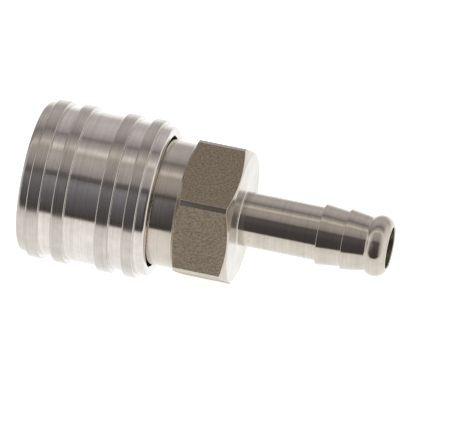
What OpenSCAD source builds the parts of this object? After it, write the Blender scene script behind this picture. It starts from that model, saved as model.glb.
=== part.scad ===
// Quick-release air coupling, socket half, with a barbed hose tail.
//
// The axis of the coupling is +X. The plug enters at the origin and the hose is pushed
// on from +X. Every turned piece is an outline of [radius, x] points spun about the axis.
// Pulling the ribbed sleeve towards the hexagon lets six balls move out and frees the plug.

/* [Sleeve] */
// Length of the pull-back sleeve
sleeve_len = 21; // [19:0.5:26]
// Wall of the sleeve between its spring room and the grip grooves
sleeve_wall = 1.6; // [1:0.1:4]
// Depth of the grip grooves
groove_depth = 0.65; // [0.2:0.05:0.8]
// Starts of the two front ribs, from the sleeve's front end
front_rib_at = [1.65, 5.8]; // [1:0.05:7]
// Widths of the two front ribs
front_rib_w = [2.1, 2.05]; // [1:0.05:3]
// Starts of the two rear ribs, from the sleeve's rear end
rear_rib_at = [1.7, 5.8]; // [1:0.05:7]
// Widths of the two rear ribs
rear_rib_w = [1.9, 2.2]; // [1:0.05:3]
// Edge break on the ribs
rib_edge = 0.15; // [0.05:0.05:0.3]
// Edge break on the sleeve's two ends
end_edge = 0.5; // [0.2:0.1:0.8]
// How far the sleeve pulls back
sleeve_travel = 3.8; // [2.8:0.05:4.6]
// Thickness of the sleeve's stop shoulder, which rests against the retaining ring
stop_w = 1.15; // [0.8:0.05:1.4]
// Length of the sleeve that covers the neck when locked
neck_overlap = 0.8; // [0.4:0.1:1.2]
// Gap left to the hexagon when the sleeve is pulled back
hex_gap = 0.3; // [0.1:0.1:1]

/* [Socket] */
// Bore that guides the plug
plug_bore_d = 12.1; // [10:0.1:14.6]
// Lead-in at the mouth
mouth_chamfer = 0.4; // [0.2:0.1:0.5]
// Step from the guiding bore down to the bore for the plug's nose, on the radius
nose_step = 0.95; // [0.8:0.05:1]
// Step from the socket body down to its screwed end, on the radius
spigot_step = 0.5; // [0.3:0.05:0.7]
// Length of the screwed end
spigot_len = 6.8; // [6:0.1:7.2]
// Retaining ring's distance from the mouth
ring_x = 1; // [0.8:0.1:1.2]
// Retaining ring's width
ring_w = 0.9; // [0.6:0.1:1]
// How far the retaining ring stands out of the socket body
ring_proud = 0.8; // [0.6:0.05:1]
// Depth of the retaining ring's groove
ring_groove_depth = 0.65; // [0.4:0.05:0.8]

/* [Ball lock] */
// Diameter of a locking ball
ball_d = 4; // [3.4:0.1:4.8]
// How far a ball moves out, from standing in the plug's way to level with the guiding bore
ball_travel = 0.95; // [0.8:0.05:1]
// How far a locked ball stands out of the socket body
ball_proud = 0.6; // [0.4:0.05:0.7]
// Number of balls
ball_count = 6; // [6:1:6]

/* [Valve] */
// Depth of the valve's front end in the nose bore, where the plug's nose pushes it
valve_depth = 2.6; // [2.6:0.1:3]
// Distance from the valve's front end to its conical seat
seat_depth = 3.8; // [3.8:0.1:4.2]
// Wall of the valve tube
valve_wall = 1.2; // [0.8:0.1:1.4]
// Step from the nose bore out to the chamber behind the seat, on the radius
chamber_step = 1.3; // [1.2:0.05:1.4]
// How far the valve head reaches past the nose bore, on the radius
head_reach = 0.5; // [0.4:0.05:0.6]
// Thickness of the valve head
head_t = 1.6; // [1.2:0.1:1.8]
// Diameter of the valve stem
stem_d = 3.6; // [3.2:0.1:4]
// Number of ports in the valve tube
port_count = 6; // [4:1:6]
// Diameter of a port
port_d = 1.8; // [1.4:0.1:1.8]
// How far the plug pushes the valve open
valve_travel = 3; // [2:0.1:3]

/* [Seals] */
// Thickness of the plug seal
plug_seal_t = 1.76; // [1.6:0.02:1.8]
// Thickness of the valve seal
valve_seal_t = 1.5; // [1.4:0.05:1.5]
// Thickness of the body seal
body_seal_t = 0.72; // [0.6:0.02:0.8]

/* [Springs] */
// Wire of the sleeve spring
sleeve_wire_d = 0.8; // [0.6:0.05:0.85]
// Turns of the sleeve spring
sleeve_turns = 3.25; // [2.75:0.25:3.5]
// Wire of the valve spring
valve_wire_d = 0.6; // [0.4:0.05:0.6]
// Turns of the valve spring
valve_turns = 3.25; // [2.75:0.25:3.5]
// Thickness of the thrust washer in front of the sleeve spring
washer_t = 0.5; // [0.3:0.05:0.6]

/* [Hexagon] */
// Width across flats, which grows by itself when the socket body needs more room
hex_af = 21; // [20.6:0.2:26]
// How much is turned off the hexagon's corners
hex_corner_cut = 0.22; // [0.1:0.02:0.4]
// Length of the hexagon
hex_len = 9; // [8:0.5:12]
// Step from the flats down to the neck that the sleeve slides over
neck_step = 0.4; // [0.3:0.05:0.6]
// Length of the corner chamfer in front
hex_front_chamfer = 0.6; // [0.3:0.1:1]
// Length of the corner chamfer behind
hex_rear_chamfer = 0.8; // [0.3:0.1:1.2]
// Distance from the flats to the rim of the flat face behind the hexagon
hex_face_inset = 0.3; // [0:0.1:1]

/* [Hose tail] */
// Length of the hose tail behind the hexagon
tail_len = 24; // [20:0.5:30]
// Diameter of the plain tube
tube_d = 8.7; // [8:0.1:9.4]
// Diameter over the barbs and the bead
barb_d = 9.86; // [9:0.02:11]
// Length of the first barb
barb_1_len = 4.05; // [3:0.05:5]
// Length of the second barb
barb_2_len = 3.8; // [3:0.05:5]
// Diameter at the low end of the first barb
barb_low_d = 8.92; // [8.4:0.02:9.4]
// Radius of the rounded bead
bead_round = 2.1; // [1.6:0.1:2.4]
// Width of the flat ring at the end of the tail
end_ring_w = 0.35; // [0.2:0.05:0.5]
// Through bore of the hose tail
tail_bore_d = 6.7; // [6:0.1:7]

/* [Clearances] */
// Running clearance on the radius between sliding pieces
running = 0.06; // [0.02:0.01:0.09]
// Gap between the faces of pieces that move apart
face_gap = 0.04; // [0.02:0.01:0.08]
// Gap round a ball
ball_gap = 0.02; // [0.01:0.01:0.04]
// Gap round a seal in its groove
seal_gap = 0.02; // [0.01:0.01:0.04]
// Open gap between the neck and the sleeve's rear end
sleeve_gap = 0.45; // [0.2:0.05:0.6]

/* [Hidden] */
$fn = 96;
steel = "lightsteelblue";
bright_steel = "silver";
spring_steel = "slategray";
rubber = [0.12, 0.12, 0.13];
plastic = "ivory";
eps = 0.01;

// Socket body
ball_r = ball_d / 2;
plug_bore_r = plug_bore_d / 2;
nose_bore_r = plug_bore_r - nose_step;
ball_rest_r = plug_bore_r + ball_r - ball_travel;
body_r = ball_rest_r + ball_r - ball_proud;
spigot_r = body_r - spigot_step;
relief = 0.2;
ball_bore_r = plug_bore_r + relief;
ring_play = 0.05;
ring_end_x = ring_x + ring_w;
stop_x = ring_end_x + ring_play;
stop_end_x = stop_x + stop_w;
stop_gap = 0.1;
ball_x = stop_end_x + sleeve_travel + ball_r + stop_gap;
hole_wall = 0.6;
guide_end_x = ball_x - ball_r - hole_wall;
nose_bore_x = ball_x + ball_r + hole_wall;
neck_front_x = sleeve_len - neck_overlap;
spigot_end_x = neck_front_x + spigot_len;
body_edge = 0.4;
spring_room = sleeve_wire_d + 0.6;
flats_r = max(hex_af / 2, body_r + spring_room + neck_step);

// Seals
plug_seal_r = plug_seal_t / 2;
gland_depth = 1.6;
plug_gland_r = nose_bore_r + gland_depth;
gland_play = 0.64;
plug_gland_w = plug_seal_t + gland_play;
gland_wall = 0.6;
plug_gland_x = nose_bore_x + gland_wall;
body_seal_r = body_seal_t / 2;
body_groove_play = 0.3;
body_groove_w = body_seal_t + body_groove_play;
body_groove_x = neck_front_x + 1;
body_groove_r = spigot_r - body_seal_t - 2 * seal_gap;

// Retaining ring in its groove
ring_root_r = body_r - ring_groove_depth;
ring_r = body_r + ring_proud;
ring_split = 1.2;

// Balls and the ramp in the sleeve: the ramp's slope turns sleeve travel into ball travel
ramp_slope = ball_travel / sleeve_travel;
land_r = body_r + running;
ramp_at_ball_r = ball_rest_r + (ball_r + ball_gap) * sqrt(1 + ramp_slope * ramp_slope);
ramp_end_x = ball_x + (ramp_at_ball_r - land_r) / ramp_slope;
release_gap = 0.1;
release_r = ball_rest_r + ball_travel + ball_r + release_gap;
ramp_start_x = ramp_end_x - (release_r - land_r) / ramp_slope;
ball_hole_gap = 0.05;
ball_hole_r = ball_r + ball_hole_gap;
lip_inner_at = plug_bore_r - 0.55;
lip_outer_at = ball_rest_r - 0.3;
lip_slope = 0.36;
lip_inner_r = ball_hole_r - lip_slope * (lip_outer_at - lip_inner_at);

// Sleeve
neck_r = flats_r - neck_step;
sleeve_cavity_r = neck_r + sleeve_gap;
groove_r = sleeve_cavity_r + sleeve_wall;
rib_r = groove_r + groove_depth;
sleeve_edge = 0.25;
ring_room = 0.4;
ring_room_r = ring_r + ring_room;
rear_land_len = 0.9;
spring_seat_x = ramp_end_x + rear_land_len;
front_ribs = [for (i = [0:1]) [front_rib_at[i], front_rib_at[i] + front_rib_w[i]]];
rear_ribs = [for (i = [1:-1:0]) [sleeve_len - rear_rib_at[i] - rear_rib_w[i], sleeve_len - rear_rib_at[i]]];

// Thrust washer and sleeve spring
washer_play = 0.15;
washer_r = sleeve_cavity_r - washer_play;
washer_bore_gap = 0.08;
washer_bore_r = body_r + washer_bore_gap;
washer_x = spring_seat_x + face_gap;
sleeve_spring_x = washer_x + washer_t;
sleeve_spring_len = neck_front_x - sleeve_spring_x;
sleeve_spring_r = (body_r + sleeve_cavity_r) / 2;

// Valve
valve_front_x = nose_bore_x + valve_depth;
seat_x = valve_front_x + seat_depth;
flow_gap = 0.5;
valve_tube_r = nose_bore_r - flow_gap;
valve_bore_r = valve_tube_r - valve_wall;
valve_collar_r = nose_bore_r - running;
valve_collar_w = 0.8;
port_wall = 0.2;
port_x = valve_front_x + valve_collar_w + port_d / 2 + port_wall;
valve_tube_end_x = seat_x + 0.2;
head_spigot_x = port_x + port_d / 2 + 0.1;
valve_seal_r = valve_seal_t / 2;
seal_groove_depth = 0.35;
seal_groove_r = valve_tube_r - seal_groove_depth;
valve_seal_mid_r = seal_groove_r + valve_seal_r;
valve_seal_x = seat_x + valve_seal_mid_r - nose_bore_r + (valve_seal_r + seal_gap) * sqrt(2);
head_r = nose_bore_r + head_reach;
head_x = valve_seal_x + valve_seal_r + seal_gap;
head_end_x = head_x + head_t;
stem_r = stem_d / 2;
chamber_r = nose_bore_r + chamber_step;
seat_end_x = seat_x + chamber_step;

// Spring guide, clamped between the socket body and a step in the hose tail
guide_x = spigot_end_x;
guide_t = 1.2;
hub_end_x = guide_x + valve_travel;
guide_play = 0.1;
guide_r = spigot_r - guide_play;
bush_wall = 0.7;
bush_r = stem_r + bush_wall;
hub_wall = 0.8;
hub_r = bush_r + hub_wall;
bush_flange_r = bush_r + 0.4;
bush_flange_t = 0.4;
flow_hole_wall = 0.05;
flow_hole_r = (chamber_r - hub_r) / 2 - flow_hole_wall;
flow_hole_at = (hub_r + chamber_r) / 2;
flow_hole_count = 4;
valve_spring_len = guide_x - head_end_x;
valve_spring_r = head_r - valve_wire_d / 2 - 0.8;
stem_inset = 0.9;
stem_end_x = hub_end_x - stem_inset;
stem_edge = 0.3;

// Hose tail
hex_x = sleeve_len + sleeve_travel + hex_gap;
hex_end_x = hex_x + hex_len;
hex_sharp_r = flats_r * 2 / sqrt(3);
hex_corner_r = hex_sharp_r - hex_corner_cut;
hex_rear_face_r = flats_r - hex_face_inset;
step_x = guide_x + guide_t;
hub_gap = 0.2;
rear_chamber_x = hub_end_x + hub_gap;
tail_bore_r = tail_bore_d / 2;
tail_cone_len = 2.4;
tube_r = tube_d / 2;
barb_r = barb_d / 2;
barb_low_r = barb_low_d / 2;
root_fillet = 0.3;
bore_edge = 0.15;
overall_len = hex_end_x + tail_len;
end_ring_r = tail_bore_r + end_ring_w;
bead_at_r = barb_r - bead_round;
bead_x = overall_len - sqrt(bead_round * bead_round - pow(end_ring_r - bead_at_r, 2));
bead_start_x = bead_x - sqrt(bead_round * bead_round - pow(tube_r - bead_at_r, 2));
barb_2_x = bead_start_x - barb_2_len;
barb_1_x = barb_2_x - barb_1_len;

// Spins an outline of [radius, x] points about the coupling's axis.
module turned(outline) {
    rotate([0, 90, 0])
        rotate_extrude()
            polygon(outline);
}

// An O-ring whose wire runs at the radius mid_r in the plane at x.
module o_ring(x, mid_r, wire_r) {
    rotate([0, 90, 0])
        rotate_extrude()
            translate([mid_r, x])
                circle(r = wire_r, $fn = 48);
}

// Round holes set out on a ring: each is drilled outwards from the axis at x.
module radial_holes(count, x, r, from, to) {
    for (i = [0:count - 1])
        rotate([0, 90, 0])
            rotate([0, 0, i * 360 / count])
                translate([0, 0, x])
                    rotate([0, 90, 0])
                        translate([0, 0, from])
                            cylinder(h = to - from, r = r);
}

// Outline of a rib with its two edges broken, between x = span[0] and x = span[1].
function rib_outline(span) = [
    [groove_r, span[0]],
    [rib_r - rib_edge, span[0]],
    [rib_r, span[0] + rib_edge],
    [rib_r, span[1] - rib_edge],
    [rib_r - rib_edge, span[1]],
    [groove_r, span[1]]
];

// Height of a coil spring's wire after t turns: one closed turn's worth at the ends,
// an even rise between them.
function coil_rise(t, turns, len, wire_d) =
    let (closed = 0.75, close_pitch = wire_d * 1.03, rise = len - wire_d)
    let (open_pitch = (rise - 2 * closed * close_pitch) / (turns - 2 * closed))
    wire_d / 2 + (
        t < closed ? t * close_pitch
        : t > turns - closed ? rise - (turns - t) * close_pitch
        : closed * close_pitch + (t - closed) * open_pitch
    );

// A coil spring of round wire, swept ring by ring along a helix about the axis.
module coil_spring(x, len, mid_r, wire_d, turns) {
    steps = 28;
    sides = 8;
    rings = round(turns * steps);
    points = [
        for (i = [0:rings], j = [0:sides - 1])
            let (turn = i * 360 / steps, side = j * 360 / sides)
            let (r = mid_r + wire_d / 2 * cos(side))
            [
                x + coil_rise(i / steps, turns, len, wire_d) + wire_d / 2 * sin(side),
                r * cos(turn),
                r * sin(turn)
            ]
    ];
    walls = [
        for (i = [0:rings - 1], j = [0:sides - 1])
            let (a = i * sides + j, b = i * sides + (j + 1) % sides)
            [a, a + sides, b + sides, b]
    ];
    first_cap = [for (j = [0:sides - 1]) j];
    last_cap = [for (j = [sides - 1:-1:0]) rings * sides + j];
    polyhedron(points = points, faces = concat(walls, [first_cap, last_cap]));
}

// Neck, hexagon and barbed tail, turned from one bar and bored through.
module hose_tail() {
    color(bright_steel)
        difference() {
            union() {
                hexagon();
                turned([
                    [0, neck_front_x],
                    [neck_r - body_edge, neck_front_x],
                    [neck_r, neck_front_x + body_edge],
                    [neck_r, hex_x + hex_front_chamfer],
                    [0, hex_x + hex_front_chamfer]
                ]);
                barbed_tube();
            }
            hose_tail_bore();
        }
}

// Hexagon with two flats facing up and down, its corners turned back at both ends.
module hexagon() {
    intersection() {
        rotate([0, 90, 0])
            rotate([0, 0, 30])
                translate([0, 0, hex_x])
                    cylinder(h = hex_len, r = hex_sharp_r, $fn = 6);
        turned([
            [0, hex_x],
            [neck_r, hex_x],
            [hex_corner_r, hex_x + hex_front_chamfer],
            [hex_corner_r, hex_end_x - hex_rear_chamfer],
            [hex_rear_face_r, hex_end_x],
            [0, hex_end_x]
        ]);
    }
}

// Tube with two barbs and a rounded bead at its end.
module barbed_tube() {
    turned([
        [0, hex_end_x - 1],
        [tube_r + root_fillet, hex_end_x - 1],
        [tube_r + root_fillet, hex_end_x],
        [tube_r, hex_end_x + root_fillet],
        [tube_r, barb_1_x],
        [barb_r, barb_1_x],
        [barb_low_r, barb_2_x],
        [barb_r, barb_2_x],
        [tube_r, bead_start_x],
        [tube_r, bead_x],
        [end_ring_r, overall_len],
        [0, overall_len]
    ]);
    intersection() {
        rotate([0, 90, 0])
            rotate_extrude()
                translate([bead_at_r, bead_x])
                    circle(r = bead_round);
        turned([
            [tail_bore_r - eps, bead_start_x - eps],
            [barb_r + eps, bead_start_x - eps],
            [barb_r + eps, overall_len],
            [tail_bore_r - eps, overall_len]
        ]);
    }
}

// Everything bored out of the hose tail, from the spigot's seat to the hose end.
module hose_tail_bore() {
    turned([
        [0, neck_front_x - 1],
        [spigot_r, neck_front_x - 1],
        [spigot_r, step_x],
        [chamber_r, step_x],
        [chamber_r, rear_chamber_x],
        [tail_bore_r, rear_chamber_x + tail_cone_len],
        [tail_bore_r, overall_len - bore_edge],
        [tail_bore_r + bore_edge, overall_len],
        [tail_bore_r + bore_edge, overall_len + 1],
        [0, overall_len + 1]
    ]);
}

// Socket body: guide bore, ball holes, plug seal gland, valve seat and screwed end.
module socket_body() {
    color(steel)
        difference() {
            turned([
                [plug_bore_r + mouth_chamfer, 0],
                [body_r - body_edge, 0],
                [body_r, body_edge],
                [body_r, ring_x - ring_play],
                [ring_root_r, ring_x - ring_play],
                [ring_root_r, ring_end_x + ring_play],
                [body_r, ring_end_x + ring_play],
                [body_r, neck_front_x],
                [spigot_r, neck_front_x],
                [spigot_r, body_groove_x],
                [body_groove_r, body_groove_x],
                [body_groove_r, body_groove_x + body_groove_w],
                [spigot_r, body_groove_x + body_groove_w],
                [spigot_r, spigot_end_x],
                [chamber_r, spigot_end_x],
                [chamber_r, seat_end_x],
                [nose_bore_r, seat_x],
                [nose_bore_r, plug_gland_x + plug_gland_w],
                [plug_gland_r, plug_gland_x + plug_gland_w],
                [plug_gland_r, plug_gland_x],
                [nose_bore_r, plug_gland_x],
                [nose_bore_r, nose_bore_x],
                [ball_bore_r, nose_bore_x],
                [ball_bore_r, guide_end_x],
                [plug_bore_r, guide_end_x],
                [plug_bore_r, mouth_chamfer]
            ]);
            radial_holes(ball_count, ball_x, ball_hole_r, lip_outer_at, body_r + 1);
            ball_lips();
        }
}

// Tapered lips at the inner ends of the ball holes, which keep the balls from falling in.
module ball_lips() {
    for (i = [0:ball_count - 1])
        rotate([0, 90, 0])
            rotate([0, 0, i * 360 / ball_count])
                translate([0, 0, ball_x])
                    rotate([0, 90, 0])
                        translate([0, 0, lip_inner_at])
                            cylinder(h = lip_outer_at - lip_inner_at, r1 = lip_inner_r, r2 = ball_hole_r);
}

// Seal between the screwed end and the hose tail.
module body_seal() {
    color(rubber)
        o_ring(body_groove_x + body_groove_w / 2, body_groove_r + seal_gap + body_seal_r, body_seal_r);
}

// Split spring ring that stops the sleeve at the mouth.
module retaining_ring() {
    color(spring_steel)
        difference() {
            turned([
                [ring_root_r + ring_play, ring_x],
                [ring_r, ring_x],
                [ring_r, ring_end_x],
                [ring_root_r + ring_play, ring_end_x]
            ]);
            translate([ring_x - 1, -ring_split / 2, 0])
                cube([ring_w + 2, ring_split, ring_r + 1]);
        }
}

// Seal that grips the plug's nose.
module plug_seal() {
    color(rubber)
        o_ring(plug_gland_x + plug_gland_w / 2, plug_gland_r - seal_gap - plug_seal_r, plug_seal_r);
}

// Perforated disc with a hub: it backs the valve spring and carries the stem's bush.
module spring_guide() {
    color(steel)
        difference() {
            turned([
                [bush_r, guide_x],
                [guide_r, guide_x],
                [guide_r, guide_x + guide_t],
                [hub_r, guide_x + guide_t],
                [hub_r, hub_end_x],
                [bush_r, hub_end_x]
            ]);
            for (i = [0:flow_hole_count - 1])
                rotate([45 + i * 360 / flow_hole_count, 0, 0])
                    translate([guide_x - 1, 0, flow_hole_at])
                        rotate([0, 90, 0])
                            cylinder(h = guide_t + 2, r = flow_hole_r);
        }
}

// Plastic bush in the hub, which the valve stem slides in.
module guide_bush() {
    color(plastic)
        turned([
            [stem_r + running, guide_x - bush_flange_t],
            [bush_flange_r, guide_x - bush_flange_t],
            [bush_flange_r, guide_x],
            [bush_r, guide_x],
            [bush_r, hub_end_x],
            [stem_r + running, hub_end_x]
        ]);
}

// Ported tube that the plug's nose pushes back.
module valve_tube() {
    color(bright_steel)
        difference() {
            turned([
                [valve_bore_r, valve_front_x],
                [valve_collar_r, valve_front_x],
                [valve_collar_r, valve_front_x + valve_collar_w],
                [valve_tube_r, valve_front_x + valve_collar_w],
                [valve_tube_r, valve_tube_end_x],
                [valve_bore_r, valve_tube_end_x]
            ]);
            radial_holes(port_count, port_x, port_d / 2, valve_bore_r - 1, valve_tube_r + 1);
        }
}

// Valve head with its spigot, seal groove and stem.
module valve_head() {
    color(bright_steel)
        turned([
            [0, head_spigot_x],
            [valve_bore_r, head_spigot_x],
            [valve_bore_r, valve_tube_end_x],
            [seal_groove_r, valve_tube_end_x],
            [seal_groove_r, head_x],
            [head_r, head_x],
            [head_r, head_end_x],
            [stem_r, head_end_x],
            [stem_r, stem_end_x - stem_edge],
            [stem_r - stem_edge, stem_end_x],
            [0, stem_end_x]
        ]);
}

// Seal that closes on the conical seat.
module valve_seal() {
    color(rubber)
        o_ring(valve_seal_x, valve_seal_mid_r, valve_seal_r);
}

// Spring that closes the valve.
module valve_spring() {
    color(spring_steel)
        coil_spring(head_end_x, valve_spring_len, valve_spring_r, valve_wire_d, valve_turns);
}

// Ribbed pull-back sleeve with its stop shoulder, ball ramp and spring room.
module sleeve() {
    ribs = concat(front_ribs, rear_ribs);
    outside = concat(
        [[groove_r - end_edge, 0], [groove_r, end_edge]],
        [for (rib = ribs) each rib_outline(rib)],
        [[groove_r, sleeve_len - end_edge], [groove_r - end_edge, sleeve_len]]
    );
    inside = [
        [sleeve_cavity_r + sleeve_edge, sleeve_len],
        [sleeve_cavity_r, sleeve_len - sleeve_edge],
        [sleeve_cavity_r, spring_seat_x],
        [land_r, spring_seat_x],
        [land_r, ramp_end_x],
        [release_r, ramp_start_x],
        [release_r, stop_end_x],
        [land_r, stop_end_x],
        [land_r, stop_x],
        [ring_room_r, stop_x],
        [ring_room_r, sleeve_edge],
        [ring_room_r + sleeve_edge, 0]
    ];
    color(bright_steel)
        turned(concat(outside, inside));
}

// Washer that lets the sleeve turn on its spring.
module thrust_washer() {
    color(steel)
        turned([
            [washer_bore_r, washer_x],
            [washer_r, washer_x],
            [washer_r, washer_x + washer_t],
            [washer_bore_r, washer_x + washer_t]
        ]);
}

// Spring that pushes the sleeve to the locked place.
module sleeve_spring() {
    color(spring_steel)
        coil_spring(sleeve_spring_x, sleeve_spring_len, sleeve_spring_r, sleeve_wire_d, sleeve_turns);
}

// Locking ball number i, counted from the lowest one.
module ball(i) {
    color("gainsboro")
        rotate([0, 90, 0])
            rotate([0, 0, (i - 1) * 360 / ball_count])
                translate([ball_rest_r, 0, ball_x])
                    sphere(r = ball_r);
}

hose_tail();
socket_body();
body_seal();
retaining_ring();
plug_seal();
spring_guide();
guide_bush();
valve_tube();
valve_head();
valve_seal();
valve_spring();
sleeve();
thrust_washer();
sleeve_spring();
ball(1);  // ball_1
ball(2);  // ball_2
ball(3);  // ball_3
ball(4);  // ball_4
ball(5);  // ball_5
ball(6);  // ball_6
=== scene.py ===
"""Visual model of a quick-release air coupling, socket half, with a barbed hose tail.

Every turned piece is an outline of (radius, x) corners spun about the coupling's axis, which
is the frame's X axis. Sizes in the classes are in millimetres; meshes are in metres.
"""
import logging
from dataclasses import dataclass, field
from enum import Enum, IntEnum

import bmesh
import bpy
import numpy as np
from mathutils import Matrix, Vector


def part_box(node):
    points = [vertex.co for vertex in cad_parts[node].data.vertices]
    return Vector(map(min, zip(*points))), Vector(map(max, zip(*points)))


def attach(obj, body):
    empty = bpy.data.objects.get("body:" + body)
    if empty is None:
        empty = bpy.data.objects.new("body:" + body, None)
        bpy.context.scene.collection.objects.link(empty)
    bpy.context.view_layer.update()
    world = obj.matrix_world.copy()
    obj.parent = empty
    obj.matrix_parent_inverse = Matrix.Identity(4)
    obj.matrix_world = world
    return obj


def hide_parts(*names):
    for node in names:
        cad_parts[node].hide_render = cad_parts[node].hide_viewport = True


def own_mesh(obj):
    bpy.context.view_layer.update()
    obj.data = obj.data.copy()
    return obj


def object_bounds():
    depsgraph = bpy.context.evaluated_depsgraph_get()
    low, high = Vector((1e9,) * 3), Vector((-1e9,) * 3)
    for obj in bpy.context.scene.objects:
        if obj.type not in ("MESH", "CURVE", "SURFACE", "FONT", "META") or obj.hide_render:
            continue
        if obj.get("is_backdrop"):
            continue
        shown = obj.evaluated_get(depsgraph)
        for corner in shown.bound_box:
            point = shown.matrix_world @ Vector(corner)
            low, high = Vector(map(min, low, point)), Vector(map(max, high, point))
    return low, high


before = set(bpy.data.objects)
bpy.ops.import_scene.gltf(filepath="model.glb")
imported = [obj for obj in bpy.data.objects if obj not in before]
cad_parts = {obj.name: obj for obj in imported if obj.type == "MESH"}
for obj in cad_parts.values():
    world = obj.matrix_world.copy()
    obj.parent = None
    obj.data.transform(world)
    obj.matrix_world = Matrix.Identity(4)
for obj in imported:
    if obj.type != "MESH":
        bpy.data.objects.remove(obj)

Array = np.ndarray
Colour = tuple[float, float, float]
LOG = logging.getLogger("coupling")
MM = 0.001
MICRON = 1e-6

# How far the rounding of a turned edge reaches, in millimetres.
CRISP, CLEAN, EASED, BROKEN = 0.04, 0.05, 0.06, 0.08


class Body(str, Enum):
    """The rigid bodies that pieces ride on."""

    HOUSING = "housing"
    WASHER = "sleeve_washer"
    SLEEVE = "sleeve_grip"
    VALVE = "valve"

    @staticmethod
    def of_ball(number: int) -> str:
        """Name of the body that carries locking ball number."""
        return f"lock_ball_{number}"


class Slot(str, Enum):
    """The record's material slots."""

    TURNED = "stainless_turned"
    SLEEVE = "stainless_sleeve"
    VALVE = "stainless_valve"
    SPRING = "spring_steel"
    BALL = "hardened_ball"
    SEAL = "nitrile_seal"
    BUSH = "ptfe_bush"


class Zone(IntEnum):
    """Regions of a piece that can be finished differently."""

    OUTSIDE = 0
    RIB = 1
    FLAT = 2
    BORE = 3
    FACE = 4


# The material of each zone of a piece, in the order of the piece's material slots.
Dress = dict[Zone, bpy.types.Material]


# ----------------------------------------------------------------------------- surfaces


class Outline:
    """A closed outline of (radius, x) corners in the half plane through the axis.

    A corner's radius and x may be arrays over the angle about the axis, for a hexagon.
    ROOM is the share of a side that a rounding may take. HOLD, or HOLD_SHARE of a short side,
    is how far beyond the rounding the next point lies.
    """

    ARC_STEPS = 5
    ROOM = 0.42
    HOLD = 0.05
    HOLD_SHARE = 0.06

    def __init__(self) -> None:
        """Starts an empty outline."""
        self.corners: list[tuple[Array, Array]] = []
        self.soft: list[float] = []
        self.zones: list[int | Array] = []

    def corner(self, radius: float | Array, x: float | Array, soft: float = CLEAN,
               zone: int | Array = Zone.OUTSIDE) -> "Outline":
        """Adds a corner.

        Args:
            radius: distance from the axis.
            x: place along the axis.
            soft: how far from the corner its rounding starts; 0 keeps a plain point.
            zone: finish of the side that follows the corner, which may change with the angle.

        Returns:
            The outline, for chaining.
        """
        self.corners.append((np.atleast_1d(radius), np.atleast_1d(x)))
        self.soft.append(soft)
        self.zones.append(zone)
        return self

    def path(self, points: list[tuple[float, float]], soft: float = CLEAN,
             zone: Zone = Zone.OUTSIDE) -> "Outline":
        """Adds corners that share their rounding and their finish.

        Args:
            points: (radius, x) of each corner.
            soft: how far from the corners their rounding starts.
            zone: finish of the sides that follow.

        Returns:
            The outline, for chaining.
        """
        for radius, x in points:
            self.corner(radius, x, soft, zone)
        return self

    def arc(self, centre: tuple[float, float], radius: float, start: float, end: float,
            steps: int) -> "Outline":
        """Adds points on a circle: (centre + radius * (cos a, sin a)) for a from start to end.

        Args:
            centre: (radius, x) of the circle's centre.
            radius: radius of the circle.
            start: first angle in radians, from the direction away from the axis towards +X.
            end: last angle in radians.
            steps: number of points.

        Returns:
            The outline, for chaining.
        """
        for angle in np.linspace(start, end, steps):
            self.corner(centre[0] + radius * np.cos(angle), centre[1] + radius * np.sin(angle), 0.0)
        return self

    def build(self) -> tuple[Array, Array]:
        """Rounds the corners.

        Each soft corner p becomes the curve (1-k)^2 a + 2k(1-k) p + k^2 b between the points a
        and b on its two sides, with one more point on each side just beyond the rounding, which
        keeps the shading of the flat sides flat.

        Returns:
            Points of shape (angles, n, 2) and the zone of the strip that follows each point,
            of shape (angles, n).
        """
        angles = max(max(r.size, x.size) for r, x in self.corners)
        raw = np.stack([
            np.stack([np.broadcast_to(r, angles), np.broadcast_to(x, angles)], axis=-1)
            for r, x in self.corners
        ], axis=1)
        before = np.roll(raw, 1, axis=1) - raw
        after = np.roll(raw, -1, axis=1) - raw
        len_before = np.linalg.norm(before, axis=-1, keepdims=True)
        len_after = np.linalg.norm(after, axis=-1, keepdims=True)
        shortest = np.minimum(len_before, len_after)
        reach = np.minimum(np.array(self.soft)[None, :, None], self.ROOM * shortest)
        hold = reach + np.minimum(self.HOLD, self.HOLD_SHARE * shortest)
        before = before / len_before
        after = after / len_after
        k = np.linspace(0.0, 1.0, self.ARC_STEPS)[None, None, :, None]
        a = (raw + before * reach)[:, :, None, :]
        b = (raw + after * reach)[:, :, None, :]
        curve = (1 - k) ** 2 * a + 2 * k * (1 - k) * raw[:, :, None, :] + k ** 2 * b
        full = np.concatenate([
            (raw + before * hold)[:, :, None, :], curve, (raw + after * hold)[:, :, None, :]
        ], axis=2)
        count = full.shape[2]
        middle = count // 2
        keep = np.array([soft > 0 for soft in self.soft])[:, None] | (np.arange(count) == middle)[None, :]
        side = np.stack([np.broadcast_to(np.atleast_1d(zone), angles) for zone in self.zones], axis=1)
        strip = np.where((np.arange(count) < middle)[None, None, :], np.roll(side, 1, axis=1)[:, :, None],
                         side[:, :, None])
        return full[:, keep], strip[:, keep]


@dataclass
class Surface:
    """Points in millimetres, faces as rows of point numbers, and each face's zone."""

    points: Array
    faces: Array
    zones: Array

    def joined(self, other: "Surface") -> "Surface":
        """This surface and another one as a single surface."""
        return Surface(np.concatenate([self.points, other.points]),
                       np.concatenate([self.faces, other.faces + len(self.points)]),
                       np.concatenate([self.zones, other.zones]))

    def volume(self) -> float:
        """Signed volume: the sum of a . (b x c) / 6 over the two triangles of each quad."""
        a, b, c, d = (self.points[self.faces[:, i]] for i in range(4))
        return float(np.sum(a * np.cross(b, c)) + np.sum(a * np.cross(c, d))) / 6.0

    def outward(self) -> "Surface":
        """Turns the faces so that they enclose a positive volume.

        Returns:
            The same surface.
        """
        if self.volume() < 0:
            self.faces = self.faces[:, ::-1].copy()
        return self


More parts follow.
